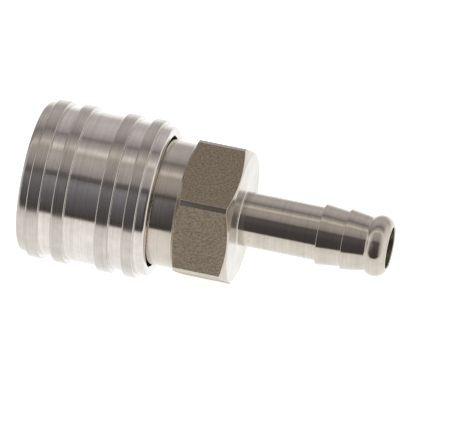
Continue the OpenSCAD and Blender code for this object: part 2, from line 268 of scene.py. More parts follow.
def grid_faces(rows: int, columns: int, wrap_rows: bool, wrap_columns: bool) -> Array:
    """Quads of a grid of points numbered row by row.

    Args:
        rows: number of rows.
        columns: number of points in a row.
        wrap_rows: whether the last row joins the first.
        wrap_columns: whether the last column joins the first.

    Returns:
        An array of shape (quads, 4).
    """
    i, j = np.meshgrid(np.arange(rows if wrap_rows else rows - 1),
                       np.arange(columns if wrap_columns else columns - 1), indexing="ij")
    i2, j2 = (i + 1) % rows, (j + 1) % columns
    corners = [i * columns + j, i * columns + j2, i2 * columns + j2, i2 * columns + j]
    return np.stack(corners, axis=-1).reshape(-1, 4)


def polar(radius: Array, x: Array, angle: Array) -> Array:
    """Points (x, r cos a, r sin a): angle a is measured about the axis from +Y towards +Z."""
    return np.stack(np.broadcast_arrays(x, radius * np.cos(angle), radius * np.sin(angle)), axis=-1)


def spin(outline: Outline, angles: Array, loop: bool = True) -> Surface:
    """Carries an outline about the axis: point (a, j) is outline point j turned to angle a.

    Args:
        outline: the outline, the same at every angle or one per angle.
        angles: the angles in radians, rising round a full turn.
        loop: whether the outline's last corner joins its first; otherwise both are on the axis.

    Returns:
        The closed surface.
    """
    shape, strips = outline.build()
    shape = np.broadcast_to(shape, (len(angles),) + shape.shape[1:])
    strips = np.broadcast_to(strips, (len(angles),) + strips.shape[1:])
    points = polar(shape[..., 0], shape[..., 1], angles[:, None]).reshape(-1, 3)
    faces = grid_faces(len(angles), shape.shape[1], True, loop)
    return Surface(points, faces, strips[:, :None if loop else -1].reshape(-1))


def square_ring(inner_r: float, outer_r: float, start_x: float, end_x: float) -> Outline:
    """Outline of a ring with a rectangular section."""
    return Outline().path([(inner_r, start_x), (outer_r, start_x), (outer_r, end_x), (inner_r, end_x)])


def split_ring(outline: Outline, gap: float, count: int = 192) -> Surface:
    """Carries an outline about the axis and leaves a parallel gap on the +Z side.

    A point at radius r starts asin(gap / 2r) beyond the +Z direction and stops as far before
    it. One more row at each end, drawn in to the outline's centre, closes the cut faces.

    Args:
        outline: the outline.
        gap: width of the gap.
        count: number of rows.

    Returns:
        The surface, closed once its points are merged.
    """
    shape = outline.build()[0][0]
    radius, x = shape[:, 0][None, :], shape[:, 1][None, :]
    start = np.arcsin(gap / 2 / radius)
    angle = np.pi / 2 + start + np.linspace(0.0, 1.0, count)[:, None] * (2 * np.pi - 2 * start)
    rows = polar(radius, x, angle)
    caps = [np.broadcast_to(rows[end].mean(axis=0), rows[end].shape)[None] for end in (0, -1)]
    points = np.concatenate([caps[0], rows, caps[1]])
    faces = grid_faces(len(points), shape.shape[0], False, True)
    return Surface(points.reshape(-1, 3), faces, np.zeros(len(faces), dtype=int))


def o_ring(mid_r: float, x: float, wire_r: float, sides: int = 36) -> Surface:
    """A round ring: a circle of radius wire_r about (mid_r, x), carried about the axis."""
    last = 2 * np.pi * (sides - 1) / sides
    return spin(Outline().arc((mid_r, x), wire_r, 0.0, last, sides), around(144))


def rod(radius: float, start: float, end: float) -> list[tuple[float, float]]:
    """Profile of a plain round cutter between two distances along its line."""
    return [(0.0, start), (radius, start), (radius, end), (0.0, end)]


def pin(profile: list[tuple[float, float]], origin: Array, along: Array, zone: Zone,
        sides: int = 64) -> Surface:
    """A cutter: a profile of (radius, distance) from axis to axis, turned about any line.

    The point is origin + distance * along + radius * (cos a * u + sin a * v), where u and v are
    square to along.

    Args:
        profile: corners, of which the first and the last have no radius.
        origin: a point on the line.
        along: the line's unit direction.
        zone: finish of the wall that the cutter leaves.
        sides: number of sides.

    Returns:
        The surface, closed once its points are merged.
    """
    radius, distance = np.array(profile).T
    u = np.cross(along, [1.0, 0.0, 0.0] if abs(along[0]) < 0.9 else [0.0, 1.0, 0.0])
    v = np.cross(along, u)
    angle = around(sides)[:, None, None]
    rim = np.cos(angle) * u + np.sin(angle) * v
    points = origin + distance[None, :, None] * along + radius[None, :, None] * rim
    faces = grid_faces(sides, len(profile), True, False)
    return Surface(points.reshape(-1, 3), faces, np.full(len(faces), int(zone)))


def spokes(count: int, start_deg: float = 0.0) -> Array:
    """Unit directions square to the axis: (0, sin a, -cos a) from a = start_deg."""
    angle = around(count, np.radians(start_deg))
    return np.stack([np.zeros(count), np.sin(angle), -np.cos(angle)], axis=-1)


def around(count: int, start: float = 0.0) -> Array:
    """Evenly spaced angles of a full turn, in radians."""
    return start + np.arange(count) * 2 * np.pi / count


def coil(x: float, length: float, mid_radius: float, wire: float, turns: float) -> Surface:
    """A round wire carried along a helix with closed end turns and rounded tips.

    The centre line is (rise(t), R cos 2 pi t, R sin 2 pi t), and the wire's radius falls to
    nothing at the tips as the root of 1 - u^2.

    Args:
        x: low end of the spring.
        length: length of the spring over the wire.
        mid_radius: radius of the helix R.
        wire: diameter of the wire.
        turns: number of turns.

    Returns:
        The closed tube.
    """
    closed_turns, per_turn, sides = 0.75, 72, 20
    turn = np.linspace(0.0, turns, int(turns * per_turn))
    close_pitch = wire * 1.03
    rise = length - wire
    knots = [0.0, closed_turns, turns - closed_turns, turns]
    heights = [0.0, closed_turns * close_pitch, rise - closed_turns * close_pitch, rise]
    along = x + wire / 2 + np.interp(turn, knots, heights)
    tip = np.clip(np.minimum(turn, turns - turn) * 2 * np.pi * mid_radius / (wire / 2), 0.0, 1.0)
    radius = wire / 2 * np.sqrt(np.clip(1 - (1 - tip) ** 2, 1e-6, 1.0))
    side = around(sides)
    angle = 2 * np.pi * turn[:, None]
    points = polar(mid_radius + radius[:, None] * np.cos(side)[None, :],
                   along[:, None] + radius[:, None] * np.sin(side)[None, :], angle).reshape(-1, 3)
    faces = grid_faces(len(turn), sides, False, True)
    return Surface(points, faces, np.zeros(len(faces), dtype=int))


def globe(centre: Array, radius: float, rows: int = 49, columns: int = 72) -> Surface:
    """A ball: centre + radius * (cos u cos v, cos u sin v, sin u).

    Args:
        centre: the ball's centre.
        radius: its radius.
        rows: number of circles of latitude, with the two poles.
        columns: number of points on each.

    Returns:
        The surface, closed once its points are merged.
    """
    u = np.linspace(-np.pi / 2, np.pi / 2, rows)[:, None]
    v = around(columns)[None, :]
    points = np.stack(np.broadcast_arrays(np.cos(u) * np.cos(v), np.cos(u) * np.sin(v), np.sin(u)), axis=-1)
    faces = grid_faces(rows, columns, False, True)
    return Surface(centre + radius * points.reshape(-1, 3), faces, np.zeros(len(faces), dtype=int))


def box_mm(node: str) -> tuple[Array, Array]:
    """Low and high corners of a frame node's box at rest, in millimetres."""
    low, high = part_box(node)
    return np.array(low) / MM, np.array(high) / MM


def linked(name: str, data: bpy.types.ID) -> bpy.types.Object:
    """Makes an object in the scene.

    Args:
        name: the object's name.
        data: what it shows.

    Returns:
        The object.
    """
    thing = bpy.data.objects.new(name, data)
    bpy.context.scene.collection.objects.link(thing)
    return thing


def make_piece(name: str, surface: Surface, dress: Dress, weld: bool = False) -> bpy.types.Object:
    """Puts a surface into a mesh object at the origin.

    Args:
        name: the piece's name.
        surface: the surface, in millimetres.
        dress: the material of each zone that the surface has.
        weld: whether to merge points that meet, as at a pole or a tip.

    Returns:
        The linked object, shaded smooth.
    """
    surface = surface.outward()
    slots = np.zeros(len(Zone), dtype=np.int32)
    slots[[int(zone) for zone in dress]] = np.arange(len(dress))
    mesh = bpy.data.meshes.new(name)
    mesh.from_pydata((surface.points * MM).tolist(), [], surface.faces.tolist())
    mesh.polygons.foreach_set("material_index", slots[surface.zones.astype(int)])
    mesh.polygons.foreach_set("use_smooth", np.ones(len(surface.faces), dtype=bool))
    for material in dress.values():
        mesh.materials.append(material)
    if weld:
        merge_points(mesh)
    mesh.update()
    return linked(name, mesh)


def merge_points(mesh: bpy.types.Mesh, distance: float = 0.0005 * MM) -> None:
    """Merges points closer than distance and drops faces that this flattens.

    Args:
        mesh: the mesh to clean.
        distance: the merging distance in metres.
    """
    work = bmesh.new()
    work.from_mesh(mesh)
    bmesh.ops.remove_doubles(work, verts=work.verts, dist=distance)
    bmesh.ops.dissolve_degenerate(work, edges=work.edges, dist=distance / 10)
    work.to_mesh(mesh)
    work.free()


def drill(piece: bpy.types.Object, cutters: list[Surface], dress: Dress) -> None:
    """Takes cutters away from a piece and keeps the rims of the holes sharp.

    Args:
        piece: the piece, which gets a new mesh.
        cutters: closed surfaces that don't meet one another.
        dress: the piece's materials.
    """
    whole = cutters[0]
    for cutter in cutters[1:]:
        whole = whole.joined(cutter)
    tool = make_piece(piece.name + "_cutter", whole, dress, weld=True)
    cut = piece.modifiers.new("holes", "BOOLEAN")
    cut.operation = "DIFFERENCE"
    cut.solver = "EXACT"
    cut.object = tool
    evaluated = piece.evaluated_get(bpy.context.evaluated_depsgraph_get())
    mesh = bpy.data.meshes.new_from_object(evaluated)
    piece.modifiers.clear()
    old = piece.data
    piece.data = mesh
    mesh.name = old.name + "_drilled"
    bpy.data.meshes.remove(old)
    tool_mesh = tool.data
    bpy.data.objects.remove(tool)
    bpy.data.meshes.remove(tool_mesh)
    keep_sharp(mesh)


def keep_sharp(mesh: bpy.types.Mesh, degrees: float = 40.0) -> None:
    """Shades a mesh smooth except across edges that turn more than the given angle."""
    mesh.polygons.foreach_set("use_smooth", np.ones(len(mesh.polygons), dtype=bool))
    mesh.set_sharp_from_angle(angle=np.radians(degrees))


def place(piece: bpy.types.Object, body: str, node: str) -> None:
    """Lets a piece stand for a frame node.

    Args:
        piece: the visual piece.
        body: the body that it rides on.
        node: the frame node that it replaces.
    """
    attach(piece, body)
    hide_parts(node)
    LOG.info("%s: %d faces, on %s", piece.name, len(piece.data.polygons), body)


def build_spring(name: str, node: str, wire: float, turns: float,
                 steel: bpy.types.Material) -> None:
    """Builds a coil spring in a frame node's box and sets it on the housing.

    Args:
        name: the piece's name.
        node: the frame node that it replaces.
        wire: diameter of the wire, in millimetres.
        turns: number of turns.
        steel: the wire's material.
    """
    low, high = box_mm(node)
    length = float(high[0] - low[0])
    surface = coil(float(low[0]), length, float(high[2]) - wire / 2, wire, turns)
    spring = make_piece(name, surface, {Zone.OUTSIDE: steel}, weld=True)
    place(spring, Body.HOUSING.value, node)
    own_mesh(spring)


# ----------------------------------------------------------------------------- shader groups


class NodeTree:
    """A small helper that adds and links shader nodes."""

    def __init__(self, tree: bpy.types.NodeTree) -> None:
        """Wraps a node tree."""
        self.tree = tree

    def add(self, kind: str, **settings: object) -> bpy.types.Node:
        """Adds a node and sets its properties.

        Args:
            kind: the node's type.
            settings: property names and values.

        Returns:
            The new node.
        """
        node = self.tree.nodes.new(kind)
        for key, value in settings.items():
            setattr(node, key, value)
        return node

    def feed(self, socket: bpy.types.NodeSocket, value: object) -> None:
        """Links a socket to another one, or sets its value.

        Args:
            socket: the input.
            value: a socket, a number or a colour.
        """
        if isinstance(value, bpy.types.NodeSocket):
            self.tree.links.new(value, socket)
        else:
            socket.default_value = value

    def fill(self, node: bpy.types.Node, values: dict[str, object]) -> None:
        """Links or sets several inputs of a node by their names."""
        for label, value in values.items():
            self.feed(node.inputs[label], value)

    def result(self, kind: str, values: tuple, **settings: object) -> bpy.types.NodeSocket:
        """Adds a node and feeds its inputs in order.

        Args:
            kind: the node's type.
            values: sockets or numbers for its first inputs.
            settings: property names and values.

        Returns:
            The first output.
        """
        node = self.add(kind, **settings)
        for socket, value in zip(node.inputs, values):
            self.feed(socket, value)
        return node.outputs[0]

    def math(self, operation: str, *values: object) -> bpy.types.NodeSocket:
        """Result of a Math node on sockets or numbers."""
        return self.result("ShaderNodeMath", values, operation=operation)

    def weigh(self, *parts: tuple[object, float]) -> bpy.types.NodeSocket:
        """Adds values up, each times its weight.

        Args:
            parts: pairs of a value and a weight.

        Returns:
            The sum's socket.
        """
        total = self.math("MULTIPLY", *parts[0])
        for value, weight in parts[1:]:
            total = self.math("MULTIPLY_ADD", value, weight, total)
        return total

    def hypotenuse(self, first: object, second: object) -> bpy.types.NodeSocket:
        """The root of the sum of two squares."""
        squares = [self.math("MULTIPLY", side, side) for side in (first, second)]
        return self.math("SQRT", self.math("ADD", *squares))

    def coordinates(self, output: str = "Object") -> bpy.types.NodeSocket:
        """One output of a Texture Coordinate node."""
        return self.add("ShaderNodeTexCoord").outputs[output]

    def split(self, vector: object) -> list[bpy.types.NodeSocket]:
        """Takes a vector apart.

        Args:
            vector: the vector's socket.

        Returns:
            The sockets of its x, y and z.
        """
        node = self.add("ShaderNodeSeparateXYZ")
        self.feed(node.inputs[0], vector)
        return list(node.outputs)

    def join(self, x: object, y: object, z: object) -> bpy.types.NodeSocket:
        """A vector with the given x, y and z."""
        return self.result("ShaderNodeCombineXYZ", (x, y, z))

    def mix(self, factor: object, low: object, high: object) -> bpy.types.NodeSocket:
        """Mixes two colours.

        Args:
            factor: the share of the second colour.
            low: the first colour.
            high: the second colour.

        Returns:
            The mixed colour's socket.
        """
        node = self.add("ShaderNodeMix", data_type="RGBA")
        self.feed(node.inputs[0], factor)
        self.feed(node.inputs[6], low)
        self.feed(node.inputs[7], high)
        return node.outputs[2]

    def span(self, value: object, low: float, high: float, to_low: float = 0.0,
             to_high: float = 1.0) -> bpy.types.NodeSocket:
        """Value moved from the range low..high to the range to_low..to_high, clamped."""
        return self.result("ShaderNodeMapRange", (value, low, high, to_low, to_high))

    def noise(self, vector: object, scale: float, detail: float, rough: float = 0.5) -> bpy.types.NodeSocket:
        """Adds a Noise texture.

        Args:
            vector: where to read it.
            scale: the size of its pattern, as repeats per unit.
            detail: its number of octaves.
            rough: how much the finer octaves count.

        Returns:
            The factor's socket.
        """
        node = self.add("ShaderNodeTexNoise")
        self.fill(node, {"Vector": vector, "Scale": scale, "Detail": detail, "Roughness": rough})
        return node.outputs["Fac"]

    def bump(self, height: object, depth: float, normal: object = None) -> bpy.types.NodeSocket:
        """Adds a Bump node.

        Args:
            height: the height's socket.
            depth: the greatest height, in micrometres.
            normal: the normal to start from, if not the surface's own.

        Returns:
            The new normal's socket.
        """
        node = self.add("ShaderNodeBump")
        self.fill(node, {"Distance": depth * MICRON, "Height": height})
        if normal is not None:
            self.feed(node.inputs["Normal"], normal)
        return node.outputs[0]

    def group(self, group: bpy.types.NodeTree, values: dict[str, float]) -> bpy.types.bpy_prop_collection:
        """Adds a node group.

        Args:
            group: the group.
            values: the names and values of its inputs.

        Returns:
            The outputs.
        """
        node = self.add("ShaderNodeGroup", node_tree=group)
        self.fill(node, values)
        return node.outputs


def new_group(name: str, inputs: dict[str, float],
              outputs: list[str]) -> tuple[NodeTree, bpy.types.Node, bpy.types.Node]:
    """Starts a shader node group with float sockets.

    Args:
        name: the group's name.
        inputs: input names and their first values.
        outputs: output names.

    Returns:
        The wrapped tree and its input and output nodes.
    """
    group = bpy.data.node_groups.new(name, "ShaderNodeTree")
    for label, value in inputs.items():
        socket = group.interface.new_socket(label, in_out="INPUT", socket_type="NodeSocketFloat")
        socket.default_value = value
    for label in outputs:
        group.interface.new_socket(label, in_out="OUTPUT", socket_type="NodeSocketFloat")
    tree = NodeTree(group)
    return tree, tree.add("NodeGroupInput"), tree.add("NodeGroupOutput")


def lathe_marks() -> bpy.types.NodeTree:
    """Turning marks: noise that changes fast along x + r and slowly about the axis.

    Returns:
        A group with Pitch in metres, and the outputs Height (fine lines), Band (broad rings of
        tone), Patch (slow changes over the surface), Ripple (shallow waves) and Speck (small stains).
    """
    tree, source, sink = new_group("lathe_marks", {"Pitch": 0.0002, "Drift": 0.5},
                                   ["Height", "Band", "Patch", "Ripple", "Speck"])
    band_scale, patch_scale, ripple_scale, speck_scale = 0.22, 420.0, 900.0, 1700.0
    ripple_squash = 2.2
    speck_low, speck_high = 0.60, 0.74
    least_radius = 1e-5
    place_m = tree.coordinates()
    x, y, z = tree.split(place_m)
    drift = source.outputs["Drift"]
    radius = tree.hypotenuse(y, z)
    safe = tree.math("MAXIMUM", radius, least_radius)
    slow = tree.join(tree.math("DIVIDE", tree.math("ADD", x, radius), source.outputs["Pitch"]),
                     tree.math("MULTIPLY", tree.math("DIVIDE", y, safe), drift),
                     tree.math("MULTIPLY", tree.math("DIVIDE", z, safe), drift))
    squashed = tree.join(tree.math("MULTIPLY", x, ripple_squash), y, z)
    tree.fill(sink, {
        "Height": tree.noise(slow, 1.0, 2.0, 0.6),
        "Band": tree.noise(slow, band_scale, 3.0, 0.6),
        "Patch": tree.noise(place_m, patch_scale, 5.0, 0.65),
        "Ripple": tree.noise(squashed, ripple_scale, 2.0, 0.6),
        "Speck": tree.span(tree.noise(place_m, speck_scale, 4.0, 0.7), speck_low, speck_high),
    })
    return tree.tree


def mill_arcs() -> bpy.types.NodeTree:
    """Arcs of a face mill on each flat: noise over the distance from a point beside the flat.

    The place across a flat is r sin(a), where a is the angle from the middle of its sextant.

    Returns:
        A group with Pitch in metres and the output Arcs.
    """
    tree, source, sink = new_group("mill_arcs", {"Pitch": 0.0002, "Reach": 0.003, "Along": 0.0285},
                                   ["Arcs"])
    x, y, z = tree.split(tree.coordinates())
    sixth = np.pi / 3
    turn = tree.math("ADD", tree.math("ARCTAN2", z, y), 2 * np.pi)
    offset = tree.math("SUBTRACT", tree.math("MODULO", turn, sixth), sixth / 2)
    across = tree.math("ADD", tree.math("MULTIPLY", tree.hypotenuse(y, z), tree.math("SINE", offset)),
                       source.outputs["Reach"])
    along = tree.math("SUBTRACT", x, source.outputs["Along"])
    line = tree.join(tree.math("DIVIDE", tree.hypotenuse(across, along), source.outputs["Pitch"]), 0.0, 0.0)
    tree.fill(sink, {"Arcs": tree.noise(line, 1.0, 2.0)})
    return tree.tree


def ground_grain() -> bpy.types.NodeTree:
    """Grain of a ground or milled flat: short blotches that run along the axis.

    Returns:
        A group with Grain in metres and Stretch, and the outputs Height, Blotch and Patch.
    """
    tree, source, sink = new_group("ground_grain", {"Grain": 0.0002, "Stretch": 0.5},
                                   ["Height", "Blotch", "Patch"])
    blotch_scale, patch_scale = 0.45, 180.0
    place_m = tree.coordinates()
    x, y, z = [tree.math("DIVIDE", part, source.outputs["Grain"]) for part in tree.split(place_m)]
    scaled = tree.join(tree.math("MULTIPLY", x, source.outputs["Stretch"]), y, z)
    tree.fill(sink, {
        "Height": tree.noise(scaled, 1.0, 3.0, 0.65),
        "Blotch": tree.noise(scaled, blotch_scale, 4.0, 0.7),
        "Patch": tree.noise(place_m, patch_scale, 2.0),
    })
    return tree.tree


class Groups:
    """The shader groups, each built once."""

    def __init__(self) -> None:
        """Builds the groups."""
        self.lathe = lathe_marks()
        self.grain = ground_grain()
        self.arcs = mill_arcs()


# ----------------------------------------------------------------------------- finishes


# Most of the Patch noise lies in this range.
PATCH_RANGE = (0.3, 0.7)


def opaque(colour: Colour) -> tuple[float, ...]:
    """A colour with full alpha, as shader sockets take it."""
    return (*colour, 1.0)


def new_material(name: str) -> tuple[bpy.types.Material, NodeTree, bpy.types.Node]:
    """Starts a node material.

    Args:
        name: the material's name.

    Returns:
        The material, its wrapped tree and its Principled BSDF.
    """
    material = bpy.data.materials.new(name)
    material.use_nodes = True
    tree = NodeTree(material.node_tree)
    return material, tree, material.node_tree.nodes["Principled BSDF"]


@dataclass(frozen=True)
class TurnedSteel:
    """Turned stainless steel: rings of tone, fine lathe lines and a sheen stretched along the axis.

    Colours are linear; pitch is the spacing of the lathe lines in millimetres, and depth and
    ripple are the heights of the lines and of the shallow waves in micrometres. A stain is the
    dull colour times stain. The three shares weigh the noises that make up the tone.
    """

    name: str
    bright: Colour = (0.74, 0.70, 0.665)
    dull: Colour = (0.585, 0.545, 0.51)
    rough_low: float = 0.10
    rough_high: float = 0.20
    pitch: float = 0.16
    depth: float = 1.2
    ripple: float = 4.5
    stretched: float = 0.55
    stained: float = 0.35
    stain: Colour = (0.62, 0.52, 0.42)
    line_share: float = 0.25
    band_share: float = 0.4
    patch_share: float = 0.35
    tone_range: tuple[float, float] = (0.39, 0.61)

    def material(self, groups: Groups) -> bpy.types.Material:
        """Builds the material.

        Args:
            groups: the shader groups.

        Returns:
            The material.
        """
        material, tree, shader = new_material(self.name)
        marks = tree.group(groups.lathe, {"Pitch": self.pitch * MM})
        mottle = tree.weigh((marks["Height"], self.line_share), (marks["Band"], self.band_share),
                            (marks["Patch"], self.patch_share))
        clean = tree.mix(tree.span(mottle, *self.tone_range), opaque(self.dull), opaque(self.bright))
        stain = opaque(tuple(part * share for part, share in zip(self.dull, self.stain)))
        waves = tree.bump(marks["Ripple"], self.ripple)
        tree.fill(shader, {
            "Base Color": tree.mix(tree.math("MULTIPLY", marks["Speck"], self.stained), clean, stain),
            "Roughness": tree.span(marks["Patch"], *PATCH_RANGE, self.rough_high, self.rough_low),
            "Metallic": 1.0,
            "Anisotropic": self.stretched,
            "Anisotropic Rotation": 0.25,
            "Normal": tree.bump(marks["Height"], self.depth, waves),
            "Tangent": self.ring_direction(tree),
        })
        return material

    @staticmethod
    def ring_direction(tree: NodeTree) -> bpy.types.NodeSocket:
        """Direction (0, -z, y) about the axis, turned into world space.

        Args:
            tree: the tree to add to.

        Returns:
            The direction's socket.
        """
        y, z = tree.split(tree.coordinates())[1:]
        ring = tree.join(0.0, tree.math("MULTIPLY", z, -1.0), y)
        return tree.result("ShaderNodeVectorTransform", (ring,), vector_type="VECTOR", convert_from="OBJECT",
                           convert_to="WORLD")


@dataclass(frozen=True)
class GroundSteel:
    """Ground or milled stainless steel: a mottled, rather matt grain, crossed by cutter arcs.

    Grain and arc_pitch are in millimetres, and depth is the height of the grain in micrometres.
    """

    name: str
    bright: Colour = (0.455, 0.382, 0.292)
    dull: Colour = (0.225, 0.186, 0.138)
    rough: float = 0.42
    rough_swing: float = 0.05
    grain: float = 0.11
    depth: float = 8.0
    stretch: float = 0.62
    arc_pitch: float = 0.17
    blotch_share: float = 0.58
    arc_share: float = 0.42
    tone_range: tuple[float, float] = (0.42, 0.58)

    def material(self, groups: Groups) -> bpy.types.Material:
        """Builds the material.

        Args:
            groups: the shader groups.

        Returns:
            The material.
        """
        material, tree, shader = new_material(self.name)
        marks = tree.group(groups.grain, {"Grain": self.grain * MM, "Stretch": self.stretch})
        arcs = tree.group(groups.arcs, {"Pitch": self.arc_pitch * MM})
        mottle = tree.weigh((marks["Blotch"], self.blotch_share), (arcs["Arcs"], self.arc_share))
        tone = tree.span(mottle, *self.tone_range)
        tree.fill(shader, {
            "Base Color": tree.mix(tone, opaque(self.dull), opaque(self.bright)),
            "Roughness": tree.span(marks["Patch"], *PATCH_RANGE, self.rough - self.rough_swing,
                                   self.rough + self.rough_swing),
            "Metallic": 1.0,
            "Normal": tree.bump(marks["Height"], self.depth),
        })
        return material


@dataclass(frozen=True)
class Moulded:
    """A moulded or turned non-metal, such as rubber or fluoropolymer, with a faint grain."""

    name: str
    light: Colour
    dark: Colour
    rough: float
    rough_swing: float = 0.06
    grain: float = 0.12
    depth: float = 3.0

    def material(self, groups: Groups) -> bpy.types.Material:
        """Builds the material.

        Args:
            groups: the shader groups.

        Returns:
            The material.
        """
        material, tree, shader = new_material(self.name)
        marks = tree.group(groups.grain, {"Grain": self.grain * MM, "Stretch": 1.0})
        tree.fill(shader, {
            "Base Color": tree.mix(marks["Blotch"], opaque(self.dark), opaque(self.light)),
            "Roughness": tree.span(marks["Patch"], *PATCH_RANGE, self.rough - self.rough_swing,
                                   self.rough + self.rough_swing),
            "Normal": tree.bump(marks["Height"], self.depth),
        })
        return material


class Finishes:
    """Every material of the coupling."""

    def __init__(self, groups: Groups) -> None:
        """Builds the materials.

        Args:
            groups: the shader groups.
        """
        def steel(name: str, **values: object) -> bpy.types.Material:
            """A turned steel with some values changed."""
            return TurnedSteel(name, **values).material(groups)

        self.groove = steel("sleeve_groove", rough_low=0.07, rough_high=0.15)
        self.rib = steel("sleeve_rib", bright=(0.62, 0.58, 0.54), dull=(0.46, 0.425, 0.39), rough_low=0.16,
                         rough_high=0.26, pitch=0.11, depth=1.6)
        self.sleeve_inside = steel("sleeve_inside", bright=(0.5, 0.48, 0.46), dull=(0.36, 0.35, 0.34),
                                   rough_low=0.25, rough_high=0.36)
        self.turned = steel("turned_steel", bright=(0.605, 0.555, 0.495), dull=(0.505, 0.46, 0.405),
                            rough_low=0.08, rough_high=0.17, pitch=0.14)
        self.faced = steel("faced_steel", bright=(0.70, 0.66, 0.62), dull=(0.64, 0.60, 0.56), rough_low=0.24,
                           rough_high=0.34, pitch=0.18, stained=0.2)
        self.socket = steel("socket_steel", bright=(0.62, 0.58, 0.54), dull=(0.54, 0.50, 0.46), pitch=0.18)
        self.bored = steel("bored_steel", bright=(0.42, 0.37, 0.32), dull=(0.26, 0.22, 0.19),
                           rough_low=0.28, rough_high=0.4, pitch=0.22, depth=3.0)
        self.valve = steel("valve_steel", bright=(0.72, 0.70, 0.68), rough_low=0.12, rough_high=0.2)
        self.wire = steel("spring_wire", bright=(0.55, 0.54, 0.53), dull=(0.42, 0.41, 0.40), rough_low=0.2,
                          rough_high=0.3, stretched=0.0)
        self.ball = steel("polished_ball", bright=(0.78, 0.77, 0.76), dull=(0.72, 0.71, 0.70),
                          rough_low=0.04, rough_high=0.08, depth=0.1, stretched=0.0)
        self.flats = GroundSteel("milled_flats").material(groups)
        rubber = Moulded("nitrile_rubber", light=(0.035, 0.035, 0.037), dark=(0.015, 0.015, 0.016),
                         rough=0.45)
        bush = Moulded("fluoropolymer", light=(0.84, 0.83, 0.79), dark=(0.74, 0.73, 0.69), rough=0.4)
        self.rubber = rubber.material(groups)
        self.bush = bush.material(groups)


# ----------------------------------------------------------------------------- sub-assemblies


@dataclass
class Sleeve:
    """Ribbed pull-back sleeve with its thrust washer and spring."""

    groove_depth: float = 0.65
    front_ribs: tuple[tuple[float, float], ...] = ((1.65, 2.1), (5.8, 2.05))
    rear_ribs: tuple[tuple[float, float], ...] = ((5.8, 2.2), (1.7, 1.9))
    end_round: float = 0.75
    rib_edge: float = 0.26
    land_r: float = 8.56
    ring_room_r: float = 9.7
    stop_x: float = 1.95
    stop_end_x: float = 3.1
    ramp_start_x: float = 5.13
    ramp_end_x: float = 11.49
    release_r: float = 10.15
    spring_seat_x: float = 12.39
    cavity_r: float = 10.55
    mouth_edge: float = 0.25
    washer_play: float = 0.02
    sides: int = 288
    washer_sides: int = 144
    spring_wire: float = 0.8
    spring_turns: float = 3.25
    length: float = field(init=False)
    rib_r: float = field(init=False)

    def __post_init__(self) -> None:
        """Takes the outer sizes from the frame."""
        high = box_mm("sleeve")[1]
        self.length = float(high[0])
        self.rib_r = float(high[2])

    def outline(self) -> Outline:
        """Outline of the sleeve: up the front, over the ribs, down the rear and back inside.

        Returns:
            The outline.
        """
        floor_r = self.rib_r - self.groove_depth
        ribs = [(at, at + width) for at, width in self.front_ribs]
        ribs += [(self.length - at - width, self.length - at) for at, width in self.rear_ribs]
        shape = Outline().corner(self.ring_room_r + self.mouth_edge, 0.0, BROKEN)
        shape.corner(floor_r, 0.0, self.end_round, Zone.RIB)
        for start, end in ribs:
            shape.corner(floor_r, start, EASED)
            shape.corner(self.rib_r, start, self.rib_edge, Zone.RIB)
            shape.corner(self.rib_r, end, self.rib_edge)
            shape.corner(floor_r, end, EASED)
        shape.corner(floor_r, self.length, self.end_round)
        shape.corner(self.cavity_r + self.mouth_edge, self.length, BROKEN)
        shape.corner(self.cavity_r, self.length - self.mouth_edge, EASED, Zone.BORE)
        shape.path([(self.cavity_r, self.spring_seat_x), (self.land_r, self.spring_seat_x),
                    (self.land_r, self.ramp_end_x), (self.release_r, self.ramp_start_x),
                    (self.release_r, self.stop_end_x), (self.land_r, self.stop_end_x),
                    (self.land_r, self.stop_x), (self.ring_room_r, self.stop_x)], CLEAN, Zone.BORE)
        return shape.corner(self.ring_room_r, self.mouth_edge, EASED)

    def build(self, finishes: Finishes) -> None:
        """Builds the sleeve, its washer and its spring.

        Args:
            finishes: the materials.
        """
        dress = {Zone.OUTSIDE: finishes.groove, Zone.RIB: finishes.rib, Zone.BORE: finishes.sleeve_inside}
        piece = make_piece("pull_sleeve", spin(self.outline(), around(self.sides)), dress)
        place(piece, Body.SLEEVE.value, "sleeve")
        self.build_washer(finishes)
        build_spring("sleeve_return_spring", "sleeve_spring", self.spring_wire,
                     self.spring_turns, finishes.wire)

    def build_washer(self, finishes: Finishes) -> None:
        """Builds the thrust washer between the sleeve and its spring.

        Args:
            finishes: the materials.
        """
        low, high = box_mm("thrust_washer")
        shape = square_ring(self.land_r + self.washer_play, high[2], low[0], high[0])
        surface = spin(shape, around(self.washer_sides))
        piece = make_piece("sleeve_thrust_washer", surface, {Zone.OUTSIDE: finishes.turned})
        place(piece, Body.WASHER.value, "thrust_washer")


